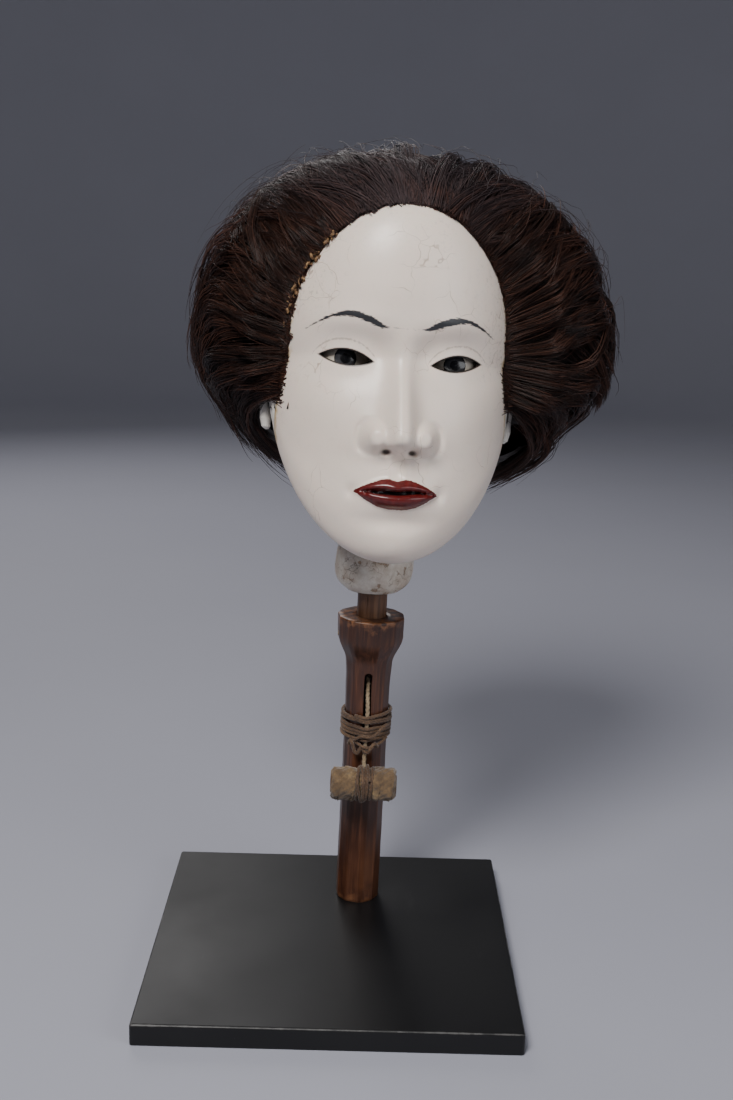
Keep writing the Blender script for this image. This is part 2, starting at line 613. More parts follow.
def cap_net():
    """The lacquered net under the hair: its front band shows at the temples."""
    v, q = egg_grid(300, 170, 0.35)
    v, q, tris, _ = clip(v, q, lambda p: -seam(p) - 1.0)
    v, q, tris2, _ = clip(v, q, lambda p: p[:, 2] - 4 - 30 * np.exp(np.clip(seam(p), -60, 0) / 7)
                          + 0.5 * np.abs(p[:, 1] - 10) * (p[:, 1] > 10))
    v, faces, _ = compact(v, [q, np.concatenate([tris, tris2])], {})
    p = Paint("wig_net", 0.55)
    weave = p.cells(900)
    n = p.noise(160, 4)
    color = p.mix(p.fit(weave, 0.05, 0.25), p.mix(n, (0.03, 0.018, 0.010), (0.20, 0.12, 0.05)),
                  (0.008, 0.005, 0.004))
    make("net_cap", v, faces, p.finish(color, None, (weave, 0.5, 0.3), (n, 0.4, 0.8)), HEAD, "head",
         ["wig_cap"])


# ---------- neck, spindle, grip ----------
NECK = smooth_curve([(-0.5, 15.0), (0.6, 16.6), (2.5, 19.2), (5, 21.0), (8, 22.1), (13, 22.6), (22, 22.0),
                     (34, 19.6), (48, 17.4),
                     (64, 16.0), (96, 15.5), (103, 14.0), (108, 11.2), (111, 8.5)], 0.9)


def neck():
    z = np.concatenate([np.linspace(0, 30, 90), np.linspace(30.6, 110.8, 90)])
    a = np.linspace(0, 2 * np.pi, 140, endpoint=False)
    lump = 0.28 * np.sin(3 * a + 0.5)[None, :] * np.sin(z / 9.0)[:, None] + 0.2 * np.sin(5 * a[None, :]
            - z[:, None] / 5)
    r = NECK(z)[:, None] + lump
    v = np.stack([r * np.cos(a), r * np.sin(a), z[:, None] + 0 * a], -1).reshape(-1, 3)
    n = len(z)
    r0 = 8.65
    low = np.stack([r0 * np.cos(a), r0 * np.sin(a), 0 * a + 0.1], -1)
    v = np.concatenate([low + [0, 0, 3], low, v[:140] * [1, 1, 0] + [0, 0, 0.02], v])
    top = np.array([[0, 0, 111.0]])
    j = np.arange(140)
    v = np.concatenate([v, top])
    lid = np.stack([np.full(140, len(v) - 1), (n + 2) * 140 + j, (n + 2) * 140 + (j + 1) % 140], -1)
    p = Paint("neck_gofun", 0.5, Subsurface_Weight=0.05, Subsurface_Scale=0.003)
    color, fine = shell_color(p, (0.70, 0.645, 0.565))
    at = p.warp(190, 0.010)
    crack = p.calc("MULTIPLY", p.fit(p.cells(130, at=at), 0.022, 0.0), p.fit(p.noise(90, 2), 0.45, 0.6))
    flake = p.fit(p.noise(170, 5, 0.65), 0.60, 0.64)
    color = p.mix(p.fit(p.noise(75, 5, 0.7), 0.40, 0.68, (0.0, 0.8)), color, (0.40, 0.29, 0.20))
    color = p.mix(p.calc("MULTIPLY", crack, 0.85), color, (0.16, 0.10, 0.06))
    color = p.mix(p.calc("MULTIPLY", flake, 0.8), color, (0.30, 0.185, 0.105))
    mat = p.finish(color, p.mix(fine, (0.42,) * 3, (0.62,) * 3), (p.noise(200, 6, 0.65), 0.35, 0.5),
                   (crack, 0.7, -0.5), (flake, 0.6, -0.5))
    make("neck", v, [grid_faces(n + 3, 140, True), lid], mat, GRIP @ shift(0, 0, 192), "stand",
         ["neck_block"])


def wood(name, dark, mid, light, rough=0.42, worn=0.3, grain=1.0, coat=0.1):
    p = Paint(name, rough, Coat_Weight=coat, Coat_Roughness=0.25)
    along = p.stretched(1.0, 1.0, 0.055)
    lines = p.noise(520 * grain, 6, 0.62, along, 0.4)
    broad = p.noise(60, 4, 0.6, p.stretched(1, 1, 0.2))
    color = p.ramp(lines, (0.30, dark), (0.52, mid), (0.72, light))
    color = p.mix(p.ramp(broad, (0.35, 0.0), (0.7, 0.55)), color, tuple(c * 0.55 for c in dark))
    scratch = p.fit(p.noise(900, 2, 0.5, p.stretched(1.0, 1.0, 0.02), 0.1), 0.70, 0.76)
    color = p.mix(p.calc("MULTIPLY", scratch, worn), color, light)
    return p, color, lines, scratch


def facet_radius(a, z, base, seed):
    """A knife-cut round: flats of uneven width over a circle."""
    r = np.random.default_rng(seed)
    n = 13
    mids = (np.arange(n) + r.uniform(-0.22, 0.22, n)) * 2 * np.pi / n
    depth = 1 - r.uniform(0.012, 0.042, n)
    out = np.full(np.broadcast(a, z).shape, 1.0)
    for i in range(n):
        way = mids[i] + 0.03 * np.sin(z / 37.0 + i)
        d = np.cos(a - way)
        flat = (depth[i] + 0.006 * np.sin(z / 21.0 + 2 * i)) / np.maximum(d, 0.2)
        out = np.minimum(out, np.where(d > 0.7, flat, 9.0))
    return base * out


GRIP_R = smooth_curve([(-1, 12.75), (3, 12.9), (60, 12.85), (100, 12.85), (125, 12.95), (140, 13.2),
                       (150, 13.9), (153, 15.0),
                       (158, 17.6), (161.5, 19.0), (164, 19.3), (175, 19.6)], 1.3)


def grip():
    z = np.concatenate([np.linspace(0.02, 1.2, 5)[:-1], np.linspace(1.2, 95, 130)[:-1],
                        np.linspace(95, 165, 176)[:-1], np.linspace(165, 175, 26)])
    cols = 240
    a = np.linspace(-np.pi, np.pi, cols, endpoint=False) - np.pi / 2 + np.pi / cols
    r = GRIP_R(z)[:, None]
    r = facet_radius(a[None, :], z[:, None], r, 5) + 0.05 * np.sin(z[:, None] / 3.1 + 3 * a[None, :])
    r *= 1 - 0.035 * bell(z[:, None] - 0.0, 0.8)
    v = np.stack([r * np.cos(a), r * np.sin(a), z[:, None] + 0 * r], -1).reshape(-1, 3)

    def outside_slot(q, low, high, half, way):
        mid = np.clip(q[:, 2], low + half, high - half)
        d = np.hypot(q[:, 0] + 0.15 * np.sin(q[:, 2] / 5), q[:, 2] - mid) - half
        return np.where(q[:, 1] * way > 0, d, 5.0)

    quads = grid_faces(len(z), cols, True)
    v, quads, t1, cut1 = clip(v, quads, lambda q: outside_slot(q, 100, 144, 2.35, -1))
    v, quads, t2, cut2 = clip(v, quads, lambda q: outside_slot(q, 138, 151, 1.7, 1))
    v, w1 = rim(v, cut1, [lambda q: q * [0.93, 1, 1] + [0, 0.3, 0], lambda q: q * [0.9, 1, 1] + [0, 2.5,
            0], lambda q: q * [0.9, 0, 1] + [0, -3.9, 0]])
    v, w2 = rim(v, cut2, [lambda q: q * [0.93, 1, 1] - [0, 0.3, 0], lambda q: q * [0.9, 0, 1] + [0, 3.9,
            0]])
    sides = cols
    ring = v[(len(z) - 1) * cols:len(z) * cols]
    angle = np.arctan2(ring[:, 1], ring[:, 0])
    bore = 8.7
    tops = [ring * [0.993, 0.993, 1] + [0, 0, 0.55], ring * [0.965, 0.965, 1] + [0, 0, 0.95]]
    for k in (0.3, 0.7, 1.0):
        tops.append(tops[1] * [1 - k, 1 - k, 1] + np.stack([bore * np.cos(angle) * k,
                bore * np.sin(angle) * k, 0 * angle - 0.25 * k], -1))
    tops.append(tops[-1] - [0, 0, 8])
    base = len(v)
    v = np.concatenate([v, *tops])
    j = np.arange(sides)
    k = (j + 1) % sides
    last, extra = (len(z) - 1) * cols + j, []
    for i in range(len(tops)):
        now = base + i * sides + j
        extra.append(np.stack([last, last[k], now[k], now], -1))
        last = now
    # The channel inside, dark, closes the view through the slots.
    cv, cf = sweep([[0, 0, 98], [0, 0, 120], [0, 0, 150]], 4.4, 24)
    hole = [cf[0][:, ::-1], cf[1]]
    v, faces = joined([(v, [np.concatenate([quads, w1, w2, *extra]), np.concatenate([t1, t2])])])
    p, color, lines, scratch = wood("grip_wood", (0.026, 0.009, 0.005), (0.072, 0.024, 0.011),
                                    (0.15, 0.056, 0.024), 0.42, 0.40, 1.0, 0.15)
    height = p.axis(2)
    foot = p.calc("ADD", p.calc("MULTIPLY", height, 1000), p.fit(p.noise(150, 4), 0.3, 0.7, (-5, 5)))
    color = p.mix(p.fit(foot, 5.0, -3.0, (0.0, 0.6)), color, (0.24, 0.10, 0.042))
    color = p.mix(p.calc("MULTIPLY", p.fit(foot, 171, 177), p.fit(p.noise(240, 4), 0.42, 0.6)), color,
                  (0.30, 0.125, 0.05))
    palm = p.calc("MULTIPLY", p.fit(foot, 60, 25), p.fit(foot, 2, 14))
    color = p.mix(p.calc("MULTIPLY", palm, p.fit(p.noise(55, 3, 0.5, p.stretched(1, 1, 0.3)), 0.45, 0.72,
            (0.0, 0.4))), color, (0.19, 0.07, 0.026))
    mat = p.finish(color, p.mix(lines, (0.30,) * 3, (0.50,) * 3), (lines, 0.22, 0.25),
                   (scratch, 0.3, -0.15), (p.noise(95, 3), 0.12, 0.6))
    make("grip_stick", v, faces, mat, GRIP, "stand", ["grip"])
    dark = Paint("channel_dark", 0.9)
    n = dark.noise(300, 4)
    make("grip_channel", cv, hole, dark.finish(dark.ramp(n, (0.3, (0.006, 0.003, 0.002)),
            (0.7, (0.02, 0.009, 0.005))), None, (n, 0.3, 0.3)), GRIP, "stand", ())


def spindle():
    z = np.linspace(150, 214, 110)
    a = np.linspace(0, 2 * np.pi, 120, endpoint=False)
    r = 8.58 + 0.07 * np.sin(3 * a[None, :] + z[:,
            None] / 9) - 0.9 * bell(np.angle(np.exp(1j * (a[None, :] + 1.95
                    + 0.02 * np.sin(z[:, None] / 2)))), 0.035) * np.clip((z[:, None] - 176) / 4, 0, 1)
    r = np.minimum(r, facet_radius(a[None, :], z[:, None], 8.66, 8))
    v = np.stack([r * np.cos(a), r * np.sin(a), z[:, None] + 0 * a], -1).reshape(-1, 3)
    p, color, lines, scratch = wood("spindle_wood", (0.08, 0.034, 0.016), (0.16, 0.074, 0.036),
                                    (0.27, 0.14, 0.068), 0.55, 0.4, 0.9)
    v = np.concatenate([v, [[0, 0, 150]], [[0, 0, 214]]])
    j = np.arange(120)
    k = (j + 1) % 120
    ends = [np.stack([np.full(120, 110 * 120), k, j], -1),
            np.stack([np.full(120, 110 * 120 + 1), 109 * 120 + j, 109 * 120 + k], -1)]
    make("spindle", v, [grid_faces(110, 120, True), np.concatenate(ends)],
         p.finish(color, None, (lines, 0.35, 0.3), (scratch, 0.3, -0.15)), GRIP, "stand", ["neck_spindle"])


# ---------- cords and toggle ----------
def cord_paint(name, dark, light, fuzz=900):
    p = Paint(name, 0.72, Sheen_Weight=0.25, Sheen_Roughness=0.5)
    n, fine = p.noise(110, 4), p.noise(fuzz, 4, 0.7)
    color = p.mix(p.ramp(n, (0.3, 0.0), (0.7, 1.0)), dark, light)
    color = p.mix(p.ramp(fine, (0.35, 0.7), (0.6, 0.0)), color, tuple(c * 0.3 for c in dark))
    return p.finish(color, None, (fine, 0.6, 0.2))


def around(a, r, z):
    return np.stack([r * np.cos(a), r * np.sin(a), z + 0 * a], -1)


def binding(brown):
    """One cord wound down the grip over the pull cord, its ends crossed and tucked under the turns."""
    turns, n = 6.3, 2200
    s = np.linspace(0, 1, n)
    a = -np.pi / 2 - 0.5 + s * turns * 2 * np.pi
    z = 119.6 - s * 15.6 + 0.45 * wobble(n, 90, 3) + 0.5 * np.sin(a + 0.6)
    front = bell(np.angle(np.exp(1j * (a + np.pi / 2))), 0.24, 2.0)
    r = 12.9 + 1.12 + 2.35 * front + 0.12 * wobble(n, 60, 4)
    path = around(a, r, z)
    v1 = sweep(path, 1.08, 14, 3, 7.5)
    # The crossing tail: down over the front, under the lowest turn, and a short loose end.
    t = np.linspace(0, 1, 260)
    b = -np.pi / 2 + 0.85 - 1.25 * t
    tail = around(b, 16.7 + 1.2 * np.sin(np.pi * t) - 2.2 * (t > 0.97),
                  113.0 - 9.0 * t + 1.2 * np.sin(3 * np.pi * t))
    v2 = sweep(tail, 1.0, 12, 3, 7.5)
    b = -np.pi / 2 - 0.55 + 1.5 * t
    under = around(b, 14.9 + 2.4 * bell(b + np.pi / 2, 0.25) + 0.5 * np.sin(np.pi * t),
                   103.6 - 3.6 * np.sin(np.pi * t) ** 1.3 + 0.8 * t)
    v3 = sweep(under, 1.0, 12, 3, 7.5)
    v, f = joined([v1, v2, v3])
    make("binding_turns", v, f, brown, GRIP, "stand", ["grip_binding"])
    b = -np.pi / 2 - 0.62 + 0.5 * t
    knot = around(b, 16.4 + 1.5 * np.sin(np.pi * t), 101.0 + 3.2 * np.sin(2.2 * np.pi * t) - 1.5 * t)
    b2 = -np.pi / 2 - 0.1 + 0.55 * t
    end = around(b2, 16.2 + 2.0 * np.sin(np.pi * t), 100.2 - 2.6 * np.sin(2.0 * np.pi * t))
    v, f = joined([sweep(knot, 1.15, 12, 3, 7.5), sweep(end, 1.1, 12, 3, 7.5)])
    make("binding_loose_end", v, f, brown, GRIP, "stand", ["binding_knot"])


TOGGLE_Y, TOGGLE_Z = -26.2, 82.0


def pull_cord(pale):
    """From the neck's bore, out of the slot, under the binding, to the toggle."""
    knots = np.array([[0, 0, 214], [0, 0, 180], [0, 0, 150], [0, -1.5, 143], [0, -8.5, 131],
                      [0.3, -13.6, 124.5], [0.5, -14.45, 119], [0.2, -14.4, 108],
                      [0, -14.4, 98], [0, -14.8, 93], [0, -16.4, 89], [0, -18.6, 86]], float)
    d = np.concatenate([[0], np.cumsum(np.linalg.norm(np.diff(knots, axis=0), axis=1))])
    s = np.linspace(0, d[-1], 700)
    path = np.stack([smooth_curve(list(zip(d, knots[:, i])), 1.4)(s) for i in range(3)], -1)
    path[:, 0] += 0.15 * wobble(len(s), 90, 9)
    v, f = sweep(path, 1.22, 12, 3, 7.0)
    make("pull_cord", v, f, pale, GRIP, "nod_toggle", ["nod_cord"])


def toggle(brown):
    where = GRIP @ shift(0, TOGGLE_Y, TOGGLE_Z) @ turn(y=90)
    # Core: a short whittled peg.
    z = np.linspace(-19, 19, 40)
    a = np.linspace(0, 2 * np.pi, 64, endpoint=False)
    r = facet_radius(a[None, :], z[:, None] * 3, 6.3, 21) * (1 - 0.12 * bell(19.2 - np.abs(z[:, None]),
            0.7))
    v = np.stack([r * np.cos(a), r * np.sin(a), z[:, None] + 0 * a], -1).reshape(-1, 3)
    v = np.concatenate([v, [[0, 0, -19.15]], [[0, 0, 19.15]]])
    j = np.arange(64)
    k = (j + 1) % 64
    ends = np.concatenate([np.stack([np.full(64, 2560), k, j], -1),
                           np.stack([np.full(64, 2561), 39 * 64 + j, 39 * 64 + k], -1)])
    p, color, lines, _ = wood("peg_wood", (0.06, 0.028, 0.013), (0.13, 0.065, 0.03), (0.25, 0.14, 0.07),
                              0.6)
    make("toggle_peg", v, [grid_faces(40, 64, True), ends], p.finish(color, None, (lines, 0.4, 0.3)),
         where, "nod_toggle", ["toggle_core"])
    # Wrap: a soft strip wound spirally from each end, with thick overlapping edges and creases.
    z = np.linspace(-18.6, 18.6, 190)
    a = np.linspace(0, 2 * np.pi, 150, endpoint=False)
    zz, aa = z[:, None], a[None, :]
    lay = (np.abs(zz) / 7.4 + aa / (2 * np.pi) * np.where(zz > 0, 1, -1)) % 1.0
    step = 0.75 * lay**3
    pinch = 1.55 * bell(zz, 5.2, 4)
    fold = 0.35 * np.sin(4 * aa + zz / 2.3 + 1.5 * np.sin(zz / 4.1)) + 0.25 * np.sin(7 * aa
            - zz / 1.7) + 0.16 * np.sin(15 * aa + zz * 1.3)
    ends_in = 1.9 * bell(18.7 - np.abs(zz), 1.1)
    r = 9.35 + step + fold - pinch - ends_in + 0.45 * np.sin(aa - 0.8) * np.sin(zz / 9)
    v = np.stack([r * np.cos(aa), r * np.sin(aa), zz + 0.3 * np.sin(5 * aa) * (np.abs(zz) > 17)],
                 -1).reshape(-1, 3)
    inner = [v[:150] * [0.66, 0.66, 1] + [0, 0, 0.5], v[-150:] * [0.66, 0.66, 1] - [0, 0, 0.5]]
    v = np.concatenate([inner[0], v, inner[1]])
    p = Paint("wrap_cloth", 0.85, Sheen_Weight=0.3, Sheen_Roughness=0.6)
    n, fine = p.noise(70, 5, 0.65), p.noise(800, 4, 0.7)
    weave = p.noise(1.0, 2, 0.5, p.stretched(1500, 1500, 500))
    color = p.ramp(n, (0.28, (0.060, 0.032, 0.013)), (0.5, (0.165, 0.098, 0.040)),
                   (0.72, (0.33, 0.22, 0.095)))
    color = p.mix(p.ramp(fine, (0.35, 0.6), (0.6, 0.0)), color, (0.05, 0.028, 0.016))
    make("toggle_cloth", v, grid_faces(192, 150, True), p.finish(color, None, (fine, 0.6, 0.3),
            (weave, 0.4, 0.15), (n, 0.4, 0.8)), where, "nod_toggle", ["toggle_wrap"])
    # Lashing: turns over the middle, some crossed.
    s = np.linspace(0, 1, 1500)
    a = s * 5.2 * 2 * np.pi + 1.0
    path = around(a, 8.9 + 0.5 * wobble(1500, 110, 31) * 0.5 + 0.7 * (s > 0.8),
                  4.4 - 8.8 * s + 1.1 * np.sin(a * 0.5) + 0.7 * wobble(1500, 160, 32))
    path[:, 2] += np.where(s > 0.8, (s - 0.8) * 34, 0)
    s2 = np.linspace(0, 1, 420)
    cross = around(s2 * 2 * np.pi * 1.02 - 2.2, 10.2 + 0.2 * np.sin(9 * s2),
                   -4.2 + 8.6 * s2 + 1.0 * np.sin(5 * s2))
    v, f = joined([sweep(path, 1.05, 12, 3, 7.5), sweep(cross, 0.95, 12, 3, 7.5)])
    make("toggle_turns", v, f, brown, where, "nod_toggle", ["toggle_lashing"])


def eye_pull(pale):
    where = GRIP @ shift(0, 16.5, 128) @ turn(y=90)
    z = np.linspace(-9, 9, 30)
    a = np.linspace(0, 2 * np.pi, 48, endpoint=False)
    r = facet_radius(a[None, :], z[:, None] * 3, 2.65, 41) * (1 - 0.2 * bell(9.1 - np.abs(z[:, None]),
            0.6) - 0.14 * bell(z[:, None], 1.2))
    v = np.stack([r * np.cos(a), r * np.sin(a), z[:, None] + 0 * a], -1).reshape(-1, 3)
    v = np.concatenate([v, [[0, 0, -9.05]], [[0, 0, 9.05]]])
    j = np.arange(48)
    k = (j + 1) % 48
    ends = np.concatenate([np.stack([np.full(48, 1440), k, j], -1),
                           np.stack([np.full(48, 1441), 29 * 48 + j, 29 * 48 + k], -1)])
    p, color, lines, _ = wood("eye_peg_wood", (0.11, 0.06, 0.028), (0.22, 0.13, 0.06), (0.36, 0.23, 0.12),
                              0.5)
    make("eye_peg", v, [grid_faces(30, 48, True), ends], p.finish(color, None, (lines, 0.4, 0.2)), where,
         "eye_pull", ["eye_toggle"])
    knots = np.array([[0, 6.5, 306], [0, 6.5, 200], [0, 6.5, 150], [0, 7.2, 148.5], [0, 12.6, 145.5],
                      [0.2, 16.2, 142], [0.1, 16.6, 136], [0, 16.6, 128], [0, 16.5, 124.4]], float)
    d = np.concatenate([[0], np.cumsum(np.linalg.norm(np.diff(knots, axis=0), axis=1))])
    s = np.linspace(0, d[-1], 520)
    path = np.stack([smooth_curve(list(zip(d, knots[:, i])), 1.0)(s) for i in range(3)], -1)
    s = np.linspace(0, 1, 90)
    loop = np.stack([1.3 * np.sin(2 * np.pi * s), 16.5 + 3.1 * np.cos(2 * np.pi * s * 1.3),
                     128 + 3.1 * np.sin(2 * np.pi * s * 1.3)], -1)
    blob = np.stack([0.8 * np.cos(9 * s), 16.6 + 0.8 * np.sin(9 * s), 124.6 - 1.6 * s], -1)
    v, f = joined([sweep(path, 0.68, 10, 2, 7.0), sweep(loop, 0.62, 10, 2, 7.0), sweep(blob, 0.6, 10, 2,
            7.0)])
    make("eye_pull_cord", v, f, pale, GRIP, "eye_pull", ["eye_toggle_cord"])


# ---------- plate ----------
def plate():
    """A square board with small rounded bevels, black paint worn along its edges."""
    half, t = 100.0, 12.0
    outline = [(half - 0.5, 0.0), (half, 0.5),
               *[(half - 1.4 + 1.4 * np.cos(b), t - 1.4 + 1.4 * np.sin(b)) for b in np.linspace(0,
                       np.pi / 2, 7)]]
    corner, per = 1.6, 8
    rings = []
    for w, z in outline:
        pts = []
        for q in range(4):
            cx, cy = [(1, 1), (-1, 1), (-1, -1), (1, -1)][q]
            for b in np.linspace(q * np.pi / 2, (q + 1) * np.pi / 2, per):
                pts.append((cx * (half - corner) + (w - half + corner) * np.cos(b),
                            cy * (half - corner) + (w - half + corner) * np.sin(b), z))
        rings.append(pts)
    v = np.array(rings).reshape(-1, 3)
    n = per * 4
    m = len(outline)
    j = np.arange(n)
    faces = [grid_faces(m, n, True)]
    v = np.concatenate([v, [[0, 0, 0]], [[0, 0, t]]])
    faces.append(np.concatenate([np.stack([np.full(n, m * n), (j + 1) % n, j], -1),
                                 np.stack([np.full(n, m * n + 1), (m - 1) * n + j,
                                           (m - 1) * n + (j + 1) % n], -1)]))
    p = Paint("black_satin", 0.42, Specular_IOR_Level=0.42)
    n1, fine = p.noise(9, 4, 0.6), p.noise(420, 3, 0.6)
    color = p.ramp(n1, (0.3, (0.0040, 0.0040, 0.0044)), (0.7, (0.0065, 0.0065, 0.007)))
    dust = p.fit(p.cells(330, "F1"), 0.055, 0.03)
    dust = p.calc("MULTIPLY", dust, p.fit(p.noise(120, 2), 0.55, 0.62))
    color = p.mix(p.calc("MULTIPLY", dust, 0.35), color, (0.28, 0.27, 0.26))
    ax, ay, z = p.calc("ABSOLUTE", p.axis(0)), p.calc("ABSOLUTE", p.axis(1)), p.axis(2)
    far = p.calc("MAXIMUM", ax, ay)
    d_top = p.calc("ADD", p.calc("ABSOLUTE", p.calc("SUBTRACT", far, 0.0995)),
                   p.calc("ABSOLUTE", p.calc("SUBTRACT", z, 0.0115)))
    wear = p.calc("ADD", p.calc("MULTIPLY", d_top, 1000), p.fit(p.noise(60, 5, 0.7), 0.3, 0.7, (-0.7, 1.1)))
    color = p.mix(p.fit(wear, 0.9, 0.25, (0.0, 0.8)), color, (0.085, 0.082, 0.08))
    scuff = p.fit(p.noise(38, 6, 0.75, p.stretched(1, 0.18, 1)), 0.66, 0.74)
    color = p.mix(p.calc("MULTIPLY", scuff, 0.18), color, (0.06, 0.06, 0.06))
    rough = p.mix(p.ramp(n1, (0.3, 0.0), (0.7, 1.0)), (0.36,) * 3, (0.48,) * 3)
    mat = p.finish(color, rough, (fine, 0.06, 0.12), (p.noise(5, 2), 0.05, 1.0))
    make("plate", v, faces, mat, WORLD, "stand", ["base_plate"], smooth=False)


# ---------- hair ----------
CROWN = np.array([6.0, 38.0, 14.0])
RINGS = np.array([
    [-30, 0.344, 62.5, 86, -62], [-27, 0.34, 72, 92, -68], [-20, 0.32, 84, 99, -72],
    [-10, 0.28, 96, 106, -73],
    [5, 0.22, 107, 112, -74], [25, 0.14, 113, 116, -74], [48, 0.06, 112, 117, -74], [70, 0, 103, 112, -74],
    [88, 0, 88, 101, -72], [102, 0, 68, 85, -68], [112, 0, 42, 61, -54], [117, 0, 12, 29, -24],
    [118, 0, 0.5, 3, 1]], float)


HAIR_STEPS = 14
HAIR_PIECES = 16


def hull(d):
    """How far the hair's outside lies from the crown point, along unit directions."""
    reach = np.where(d < 0, [109.0, 112.0, 88.0], [117.0, 80.0, 103.0])
    low = np.clip((-0.13 - d[..., 2]) / 0.25, 0, 1)
    return (np.abs(d / reach) ** 2.25).sum(-1) ** (-1 / 2.25) * (1 - 0.10 * low * np.abs(d[..., 0]))


def hair_ring(u, a):
    """The hair mass's own surface: u from the hairline (0) to the back (1), a round the head."""
    at = u * (len(RINGS) - 1)
    g = [np.interp(at, np.arange(len(RINGS)), RINGS[:, k]) for k in range(5)]
    c, sn = [np.sign(f) * np.abs(f) ** 0.88 for f in (np.cos(a), np.sin(a))]
    z = (g[3] + g[4]) / 2 + (g[3] - g[4]) / 2 * sn
    return np.stack([g[2] * c + 10 * c * c * np.clip(g[2] - 60, -60, 52) / 52 * np.clip(g[2] / 60, 0, 1),
                     g[0] - g[1] * z, z], -1)


def hairline(n, low, forward=1.2):
    """Points along the rim of the face, from low on the right, over the forehead, to low on the left."""
    psi = np.linspace(low, 62, 900)
    p = np.radians(psi)
    forward = forward + 14.0 * np.clip((psi - 34) / 18, 0, 1) ** 2 * (forward > 0)
    reach = (forward - SEAM_Y) / (profile_r(psi) * (np.cos(p) - SEAM_SLOPE * np.sin(p)))
    ok = reach < 1
    psi, t = psi[ok], np.degrees(np.arccos(reach[ok]))
    half = egg(psi, t, 0.2)
    line = np.concatenate([half, half[::-1] * [-1, 1, 1]])
    d = np.concatenate([[0], np.cumsum(np.linalg.norm(np.diff(line, axis=0), axis=1))])
    s = np.linspace(0, d[-1], n)
    return np.stack([np.interp(s, d, line[:, i]) for i in range(3)], -1)


def head_out(p, least):
    """Pushes points out of the head."""
    q = p / [HALF_W + least, 1, 1]
    side = np.clip(1 - q[..., 0] ** 2, 0, 1) ** 0.5
    r = np.hypot(p[..., 1], p[..., 2]) + 1e-6
    psi = np.degrees(np.arctan2(p[..., 2], -p[..., 1]))
    psi = np.where(psi < -90, psi + 360, psi)
    need = (profile_r(psi.ravel()).reshape(psi.shape) + least) * side
    k = np.clip(need / r, 1, None)
    return np.stack([p[..., 0], p[..., 1] * k, p[..., 2] * k], -1)


def comb(roots, layer, length, down, out, seed, steps=HAIR_STEPS):
    """Guide strands: combed back from their roots over the hull, then falling."""
    r = np.random.default_rng(seed)
    n = len(roots)
    p = roots.copy()
    off = p - CROWN
    dist = np.linalg.norm(off, axis=1)
    first = dist / hull(off / dist[:, None])
    sway = r.normal(0, 0.24, (n, 3))
    path = [p.copy()]
    for i in range(1, steps):
        t = i / (steps - 1)
        off = p - CROWN
        dist = np.linalg.norm(off, axis=1)
        d = off / dist[:, None]
        y = p[:, 1]
        back = np.clip((95 - y) / 40, 0, 1)
        fall = down * np.clip((y + 25) / 75, 0.0, 1.0)
        spread = out * np.clip((10 - y) / 60, 0, 1)
        way = np.stack([np.clip(d[:, 0] * 2.2, -0.8, 0.8) * spread, back + 0 * y,
                        0.9 * spread * (d[:, 2] > -0.1) - fall], -1) + sway
        way -= d * (way * d).sum(1)[:, None]
        way /= np.linalg.norm(way, axis=1)[:, None] + 1e-9
        p = p + way * (length / (steps - 1))[:, None]
        off = p - CROWN
        d = off / np.linalg.norm(off, axis=1)[:, None]
        rise = np.clip(t / 0.42, 0, 1)
        rise = rise * rise * (3 - 2 * rise)
        lam = first + (layer - first) * rise
        p = CROWN + d * (hull(d) * lam)[:, None]
        path.append(p.copy())
    return np.stack(path, 1)


def strands(guides, many, spread, thick, seed, wave=1.0, loose=0.03, short=0.72):
    """Child strands round each guide. Returns centre lines, radii and a tone for each."""
    r = np.random.default_rng(seed)
    g, steps, _ = guides.shape
    n = g * many
    base = np.repeat(guides, many, 0)
    t = np.linspace(0, 1, steps)
    tangent = np.gradient(base, axis=1)
    tangent /= np.linalg.norm(tangent, axis=2)[..., None] + 1e-9
    outward = base - CROWN
    outward /= np.linalg.norm(outward, axis=2)[..., None]
    across = np.cross(tangent, outward)
    across /= np.linalg.norm(across, axis=2)[..., None] + 1e-9
    wide = r.normal(0, 1, n)
    high = r.normal(0, 1, n)
    clump = np.repeat(r.uniform(0.35, 1.0, g), many)
    size = spread * (1.0 - 0.55 * (1 - clump[:, None]) * t[None, :] + 0.35 * t[None, :] ** 3)
    path = base + across * (wide[:, None] * size)[..., None] + outward * (high[:, None] * size * 0.42)[...,
            None]
    for k, amp in ((1.1, 1.5), (2.6, 0.55), (5.5, 0.16)):
        phase = r.uniform(0, 2 * np.pi, (n, 1))
        phase2 = r.uniform(0, 2 * np.pi, (n, 1))
        k2 = k * r.uniform(0.7, 1.3, (n, 1))
        lift = wave * amp * t[None, :]**0.6
        path += across * (lift * np.sin(2 * np.pi * k2 * t + phase))[..., None]
        path += outward * (0.6 * lift * np.sin(2 * np.pi * k2 * t + phase2))[..., None]
    fly = r.random(n) < loose
    away = r.normal(0, 1, (n, 3)) + 0.9 * outward[:, -1]
    path += fly[:, None, None] * away[:, None, :] * (t[None, :, None] ** 2) * 9.0
    keep = r.uniform(short, 1.0, n) ** 0.7
    keep = np.where(r.random(n) < 0.12, keep * r.uniform(0.5, 0.9, n), keep)
    s = keep[:, None] * t * (steps - 1)
    i = np.clip(s.astype(int), 0, steps - 2)
    f = (s - i)[..., None]
    rows = np.arange(n)[:, None]
    path = path[rows, i] * (1 - f) + path[rows, i + 1] * f
    radius = thick * r.uniform(0.7, 1.25, n)[:, None] * (1 - 0.75 * t[None, :] ** 4)
    return path, radius, r.random(n), np.repeat(r.random(g), many)


